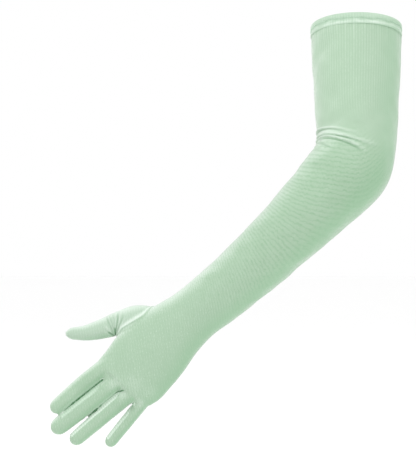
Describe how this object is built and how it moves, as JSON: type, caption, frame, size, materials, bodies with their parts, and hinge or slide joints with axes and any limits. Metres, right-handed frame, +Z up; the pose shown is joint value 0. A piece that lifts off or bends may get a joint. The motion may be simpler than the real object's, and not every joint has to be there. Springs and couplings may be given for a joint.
{
  "type": "long sheer stretch glove",
  "caption": "Opera-length sheer stretch glove for one hand, in its worn form on a bent arm, with a turned hem, a set-in thumb and strips along the fingers.",
  "frame": {"origin": "middle of the hem opening at the top of the arm, where the arm goes in and the glove is held", "axes": "+Z up as worn, roughly up the arm; +X to the right and +Y away, seen from the back of the hand"},
  "size_m": [0.3452, 0.119, 0.423],
  "materials": {
    "net_cloth": "matt sheer stretch net, mint green",
    "hem_cloth": "the same net doubled in the turned hem, so lighter and closer",
    "strip_cloth": "the same net in narrow strips between the fingers"
  },
  "bodies": {
    "root": {"hem_band": "hem_cloth", "sleeve_and_hand": "net_cloth", "thumb_piece": "net_cloth", "fourchette_index_middle": "strip_cloth", "fourchette_middle_ring": "strip_cloth", "fourchette_ring_little": "strip_cloth"}
  },
  "joints": []
}
